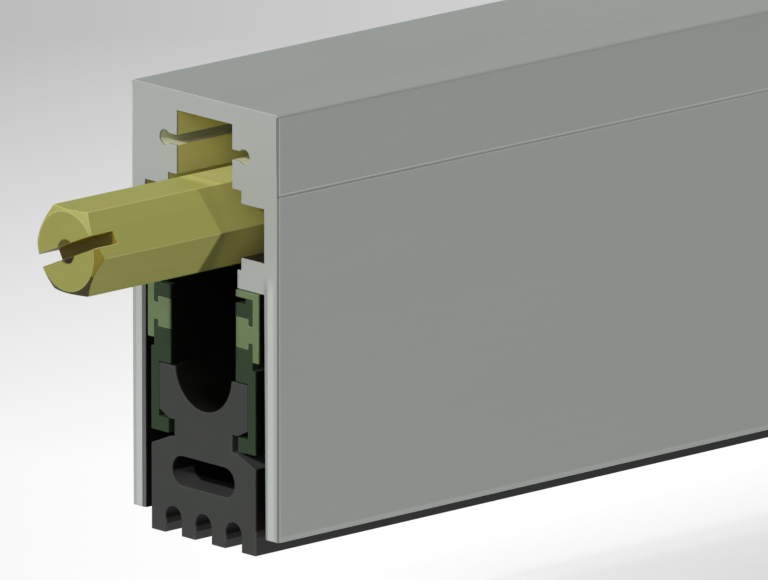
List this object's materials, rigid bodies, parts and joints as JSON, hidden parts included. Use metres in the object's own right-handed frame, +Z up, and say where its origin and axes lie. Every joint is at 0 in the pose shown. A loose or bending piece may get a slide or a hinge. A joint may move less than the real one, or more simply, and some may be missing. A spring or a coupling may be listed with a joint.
{
  "type": "automatic door bottom seal",
  "caption": "Automatic door bottom seal: slim metal housing with a brass push plunger that lowers a ribbed rubber seal on a green carrier by cam plates.",
  "frame": {"origin": "centre of the bounding box, on the plane of the seal's ribs", "axes": "+Y along the seal, from the plunger's end to the far end; +X across the door; +Z up, out of the ribs towards the housing's top"},
  "size_m": [0.0148, 0.3476, 0.0313],
  "materials": {
    "housing_alloy": "satin",
    "plunger_brass": "satin",
    "bright_steel": "satin",
    "sheet_steel": "satin",
    "cast_zinc": "matt",
    "spring_steel": "satin",
    "screw_steel": "satin",
    "nylon": "matt",
    "rail_green": "matt",
    "glide_green": "matt",
    "seal_rubber": "matt"
  },
  "bodies": {
    "housing": {"housing": "housing_alloy", "return_spring": "spring_steel", "spring_anchor": "cast_zinc", "guide_block_front_left": "cast_zinc", "guide_block_front_right": "cast_zinc", "guide_block_rear_left": "cast_zinc", "guide_block_rear_right": "cast_zinc", "side_screws": "screw_steel"},
    "slider": {"adjusting_stud": "bright_steel", "coupling_pin": "bright_steel", "cam_rivets_front": "bright_steel", "cam_rivets_rear": "bright_steel", "spring_collar": "bright_steel", "drive_bar_front_left": "sheet_steel", "drive_bar_front_right": "sheet_steel", "drive_bar_middle_left": "sheet_steel", "drive_bar_middle_right": "sheet_steel", "cam_plate_front": "sheet_steel", "cam_plate_rear": "sheet_steel", "coupling_block": "cast_zinc", "guide_shoe_front": "nylon", "guide_shoe_rear": "nylon", "guide_shoe_end": "nylon"},
    "plunger": {"hex_plunger": "plunger_brass"},
    "carrier": {"cross_pin_front": "bright_steel", "cross_pin_rear": "bright_steel", "cam_roller_front": "nylon", "cam_roller_rear": "nylon", "hanger_front": "sheet_steel", "hanger_rear": "sheet_steel", "hanger_rivets": "bright_steel", "carrier_rail_left": "rail_green", "carrier_rail_right": "rail_green", "glide_strip_left": "glide_green", "glide_strip_right": "glide_green", "seal": "seal_rubber"}
  },
  "joints": [
    {"name": "plunger_slide", "type": "slide", "parent": "housing", "child": "slider", "axis": [0, 1, 0], "range_m": [0, 0.008], "stiffness_N_per_m": 500, "springref_m": -0.008, "deforming": ["return_spring"]},
    {"name": "plunger_turn", "type": "hinge", "parent": "slider", "child": "plunger", "pos_m": [0, -0.16115, 0.02262], "axis": [0, 1, 0], "continuous": true},
    {"name": "seal_drop", "type": "slide", "parent": "housing", "child": "carrier", "axis": [0, 0, -1], "range_m": [0, 0.01]}
  ],
  "couplings": [
    {"joint": "seal_drop", "follows": "plunger_slide", "ratio": 1.25}
  ]
}
